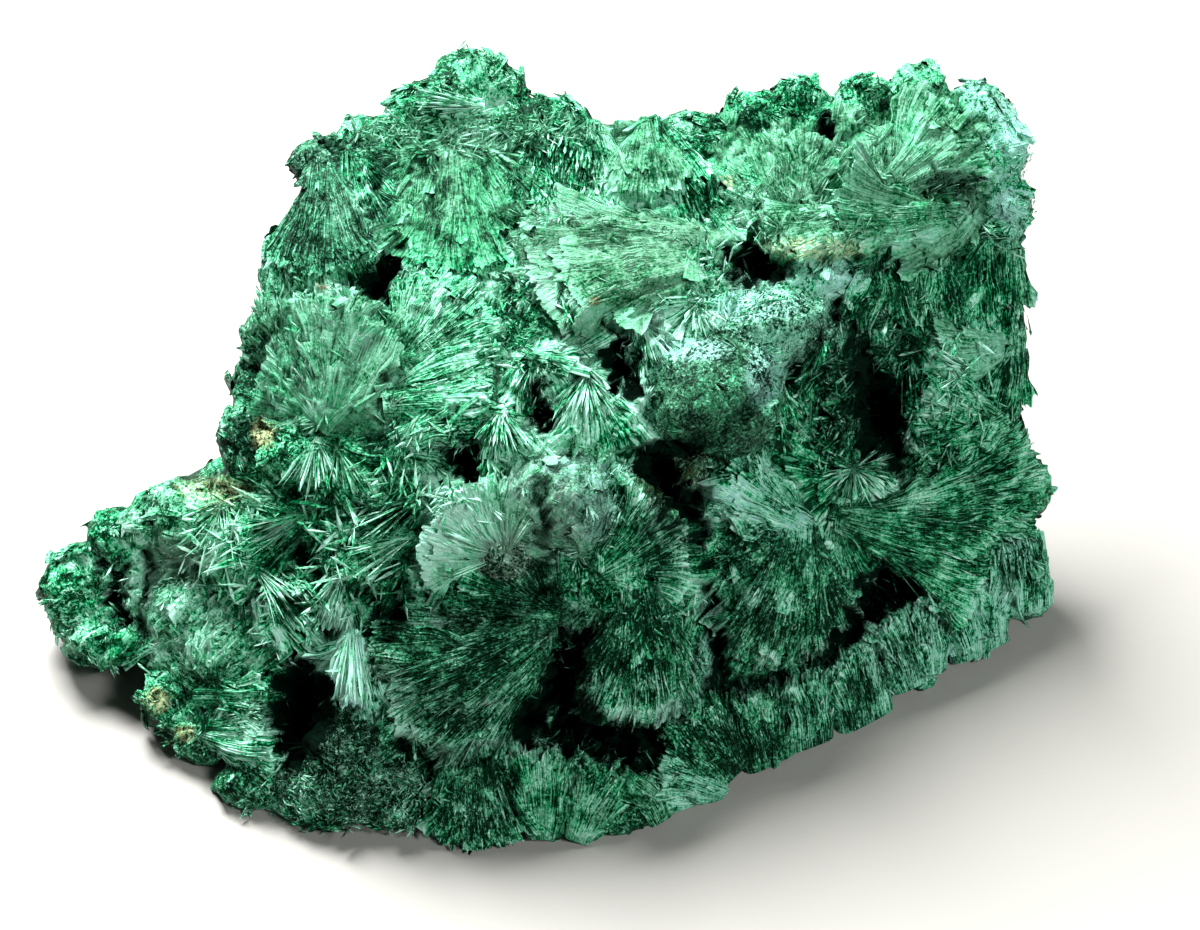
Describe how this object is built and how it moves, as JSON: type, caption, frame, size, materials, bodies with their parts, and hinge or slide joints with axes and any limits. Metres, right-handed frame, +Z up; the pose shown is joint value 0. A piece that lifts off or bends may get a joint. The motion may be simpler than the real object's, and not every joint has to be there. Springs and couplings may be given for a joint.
{
  "type": "malachite specimen",
  "caption": "Natural lump of fibrous malachite: radiating fans of green crystals over a knobbly mass, with a flat spot to rest on.",
  "frame": {"origin": "middle of the bounding box on the surface that the specimen rests on", "axes": "+X to the right along the specimen's longest extent, +Y to the back, +Z up along its shortest extent"},
  "size_m": [0.0881, 0.0554, 0.0411],
  "materials": {
    "malachite": "silky fibrous malachite, deep green with pale mint broken ends, black and cream patches"
  },
  "bodies": {
    "root": {"malachite": "malachite"}
  },
  "joints": []
}
